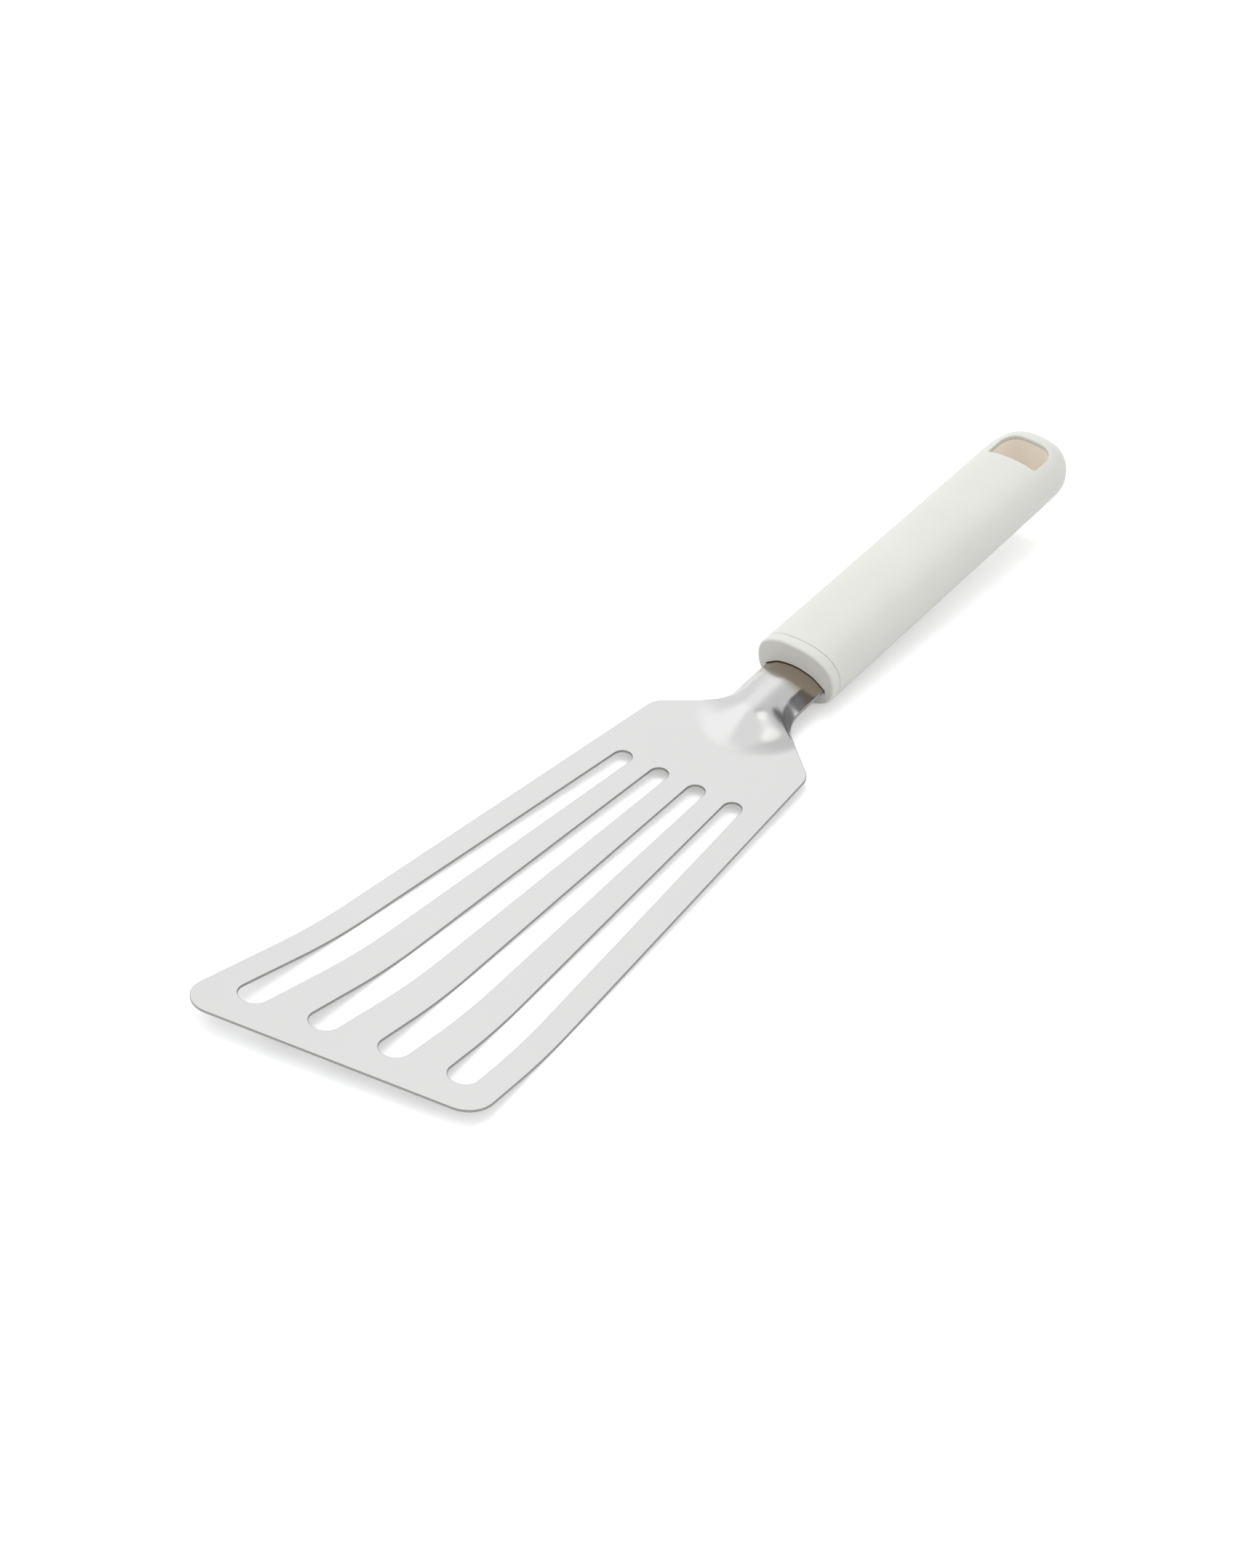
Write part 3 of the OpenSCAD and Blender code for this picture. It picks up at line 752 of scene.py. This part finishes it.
def sheared_edge():
    """Stainless steel as the blanking die leaves it: a dull, darker edge with fine upright scores,
    which are drawn 0.5 mm apart."""
    material, tree = new_material("Sheared_Stainless_Edge")
    where = add_node(tree, "ShaderNodeTexCoord").outputs["Object"]
    drawn_out = {"Vector": where, "Scale": (2000, 2000, 100)}
    upright = add_node(tree, "ShaderNodeMapping", drawn_out).outputs["Vector"]
    scores = add_node(tree, "ShaderNodeTexNoise", {"Vector": upright, "Scale": 1.0, "Detail": 2.0})
    dullness = {"Value": scores.outputs["Fac"], "To Min": 0.35, "To Max": 0.5}
    rough = add_node(tree, "ShaderNodeMapRange", dullness)
    relief = {"Height": scores.outputs["Fac"], "Strength": 0.2, "Distance": 0.00003}
    bump = add_node(tree, "ShaderNodeBump", relief)
    metal = add_node(tree, "ShaderNodeBsdfPrincipled", {
        "Base Color": linear("#A09E9B"),
        "Metallic": 1.0,
        "Roughness": rough.outputs["Result"],
        "Normal": bump.outputs["Normal"],
    })
    add_node(tree, "ShaderNodeOutputMaterial", {"Surface": metal.outputs["BSDF"]})
    return material


def moulded_plastic(name, colour, deep, roughness, spread=0.03):
    """ABS injection moulded in a finely spark-eroded tool: a satin sheen with a very fine, even texture
    and hardly any change of tone. The texture's grains are drawn 0.4 mm across."""
    material, tree = new_material(name)
    where = add_node(tree, "ShaderNodeTexCoord").outputs["Object"]
    grain = add_node(tree, "ShaderNodeTexNoise", {"Vector": where, "Scale": 2500.0, "Detail": 2.0})
    cloud = add_node(tree, "ShaderNodeTexNoise", {"Vector": where, "Scale": 60.0, "Detail": 2.0})
    tones = {"Factor": cloud.outputs["Fac"], "A": linear(deep), "B": linear(colour)}
    tone = add_node(tree, "ShaderNodeMix", tones, data_type="RGBA")
    low, high = roughness - spread, roughness + spread
    satin = {"Value": cloud.outputs["Fac"], "To Min": low, "To Max": high}
    rough = add_node(tree, "ShaderNodeMapRange", satin)
    relief = {"Height": grain.outputs["Fac"], "Strength": 0.06, "Distance": 0.00003}
    bump = add_node(tree, "ShaderNodeBump", relief)
    plastic = add_node(tree, "ShaderNodeBsdfPrincipled", {
        "Base Color": tone.outputs["Result"],
        "Roughness": rough.outputs["Result"],
        "IOR": 1.5,
        "Normal": bump.outputs["Normal"],
    })
    add_node(tree, "ShaderNodeOutputMaterial", {"Surface": plastic.outputs["BSDF"]})
    return material


def white_table():
    """Matt white table. The camera sees it brighter than it lights the turner, the steel sees it half
    way between, and it keeps the turner's shadow."""
    material, tree = new_material("White_Table")
    steel_share = 0.5
    rays = add_node(tree, "ShaderNodeLightPath").outputs
    shares = {0: rays["Is Glossy Ray"], 1: steel_share, 2: rays["Is Camera Ray"]}
    seen = add_node(tree, "ShaderNodeMath", shares, operation="MULTIPLY_ADD")
    bare = add_node(tree, "ShaderNodeBsdfDiffuse", {"Color": linear("#E6E6E6")})
    bright = add_node(tree, "ShaderNodeBsdfDiffuse", {"Color": linear("#FAFAFA")})
    glow = add_node(tree, "ShaderNodeEmission", {"Color": linear("#FFFFFF"), "Strength": 0.28})
    lit = add_node(tree, "ShaderNodeAddShader", {0: bright.outputs[0], 1: glow.outputs[0]})
    layers = {0: seen.outputs[0], 1: bare.outputs[0], 2: lit.outputs[0]}
    mixed = add_node(tree, "ShaderNodeMixShader", layers)
    add_node(tree, "ShaderNodeOutputMaterial", {"Surface": mixed.outputs[0]})
    return material


def make_table(half=3):
    """A square sheet of table at height 0, which reaches half its side from the origin, in metres."""
    mesh = bpy.data.meshes.new("Table")
    corners = [(-half, -half, 0), (half, -half, 0), (half, half, 0), (-half, half, 0)]
    mesh.from_pydata(corners, [], [(0, 1, 2, 3)])
    mesh.materials.append(white_table())
    table = bpy.data.objects.new("Table", mesh)
    bpy.context.scene.collection.objects.link(table)


def softbox(name, size, energy, place, mirrored=True):
    """A round area lamp whose -Z axis points at the turner. The steel mirrors it or not."""
    lamp = bpy.data.lights.new(name, "AREA")
    lamp.shape = "DISK"
    lamp.size, lamp.energy = size, energy
    box = bpy.data.objects.new(name, lamp)
    box.location = place
    box.visible_glossy = mirrored
    box.rotation_euler = (-Vector(place)).to_track_quat("-Z", "Y").to_euler()
    bpy.context.scene.collection.objects.link(box)


# The studio round the table is pale. Each lobe changes it toward one side: the axis, the cosines
# between which it comes in, and its level outside and inside. The levels multiply.
STUDIO_LEVEL = 0.92
STUDIO_LOBES = (
    # a dark stand on the right, which the neck's right wall mirrors
    ((-0.75, 0.44, 0.49), 0.86, 0.91, 1.0, 0.2),
    # the dim top of the room behind the handle, which the right half of the crown mirrors
    ((-0.55, 0.05, 0.83), 0.86, 0.98, 1.0, 0.66),
    # a dimmer ceiling, seen in the foot of the drawn end
    ((0.10, -0.05, 0.99), 0.85, 0.98, 1.0, 0.88),
    # a window's light from the left, seen in the drawn end's left half
    ((0.0, -0.80, 0.60), 0.8, 0.95, 1.0, 1.12),
    # the room's low left side, seen in the neck's left wall
    ((-0.57, -0.81, 0.10), 0.85, 0.97, 1.0, 0.84),
    # more light from everywhere but low in front, which keeps the handle's face in shade
    ((0.945, 0.189, -0.284), -0.15, 0.6, 1.38, 0.8),
)


def make_studio():
    """The room's light from all sides. Only the camera sees plain white in its place."""
    world = bpy.data.worlds.new("Studio")
    bpy.context.scene.world = world
    world.use_nodes = True
    tree = world.node_tree
    tree.nodes.clear()
    where = add_node(tree, "ShaderNodeTexCoord").outputs["Generated"]
    level = STUDIO_LEVEL
    for lobe in STUDIO_LOBES:
        factors = {0: level, 1: step_along(tree, where, *lobe)}
        level = add_node(tree, "ShaderNodeMath", factors, operation="MULTIPLY").outputs[0]
    room = add_node(tree, "ShaderNodeBackground", {"Color": linear("#FDFEFF"), "Strength": level})
    plain = add_node(tree, "ShaderNodeBackground", {"Color": linear("#FFFFFF"), "Strength": 1.0})
    camera_ray = add_node(tree, "ShaderNodeLightPath").outputs["Is Camera Ray"]
    layers = {0: camera_ray, 1: room.outputs[0], 2: plain.outputs[0]}
    shown = add_node(tree, "ShaderNodeMixShader", layers)
    add_node(tree, "ShaderNodeOutputWorld", {"Surface": shown.outputs[0]})


# The camera has no roll over the blade's own plane, and looks at a point on that plane. The distance,
# the target, the sensor and the focal length are in mm, and the clips in m.
AZIMUTH, ELEVATION, DISTANCE = math.radians(128.436), math.radians(40.81), 999.0
TARGET = np.array([32.65, -10.144, 0.0])
SENSOR_W, FOCAL_L = 36, 84.507
CLIP_NEAR, CLIP_FAR = 0.05, 20


def make_camera():
    """The camera, with its axes right, up and back as the columns of its turn."""
    level = math.cos(ELEVATION)
    back = np.array([math.sin(AZIMUTH) * level, -math.cos(AZIMUTH) * level, math.sin(ELEVATION)])
    right = np.array([math.cos(AZIMUTH), math.sin(AZIMUTH), 0])
    pose = np.eye(4)
    pose[:3, :3] = turn_y(REST_TILT) @ np.stack([right, np.cross(back, right), back], -1)
    pose[:3, 3] = lay_down(TARGET + back * DISTANCE)
    lens = bpy.data.cameras.new("Camera")
    lens.sensor_width, lens.lens = SENSOR_W, FOCAL_L
    lens.clip_start, lens.clip_end = CLIP_NEAR, CLIP_FAR
    camera = bpy.data.objects.new("Camera", lens)
    bpy.context.scene.collection.objects.link(camera)
    camera.matrix_world = Matrix(pose.tolist())
    bpy.context.scene.camera = camera


off_white = moulded_plastic("Moulded_Off_White_ABS", "#DBDAD5", "#D7D6D0", roughness=0.42)
beige = moulded_plastic("Moulded_Beige_ABS", "#FEF5E9", "#FAF1E3", roughness=0.5)
make_blade(stainless_steel(), sheared_edge())
make_sleeve(off_white)
make_collar(off_white)
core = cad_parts["handle_core"]
core.data.materials.clear()
core.data.materials.append(beige)

make_table()
# the small lamp is the patch of light on the drawn end, and the large one gives the turner its shadows
softbox("Overhead_Softbox", size=0.36, energy=0.17, place=(-0.31, 0.18, 1.16))
softbox("Main_Softbox", size=0.6, energy=2.6, place=(-0.2, -0.12, 1.27), mirrored=False)
make_studio()
make_camera()
bpy.context.scene.view_settings.view_transform = "Standard"
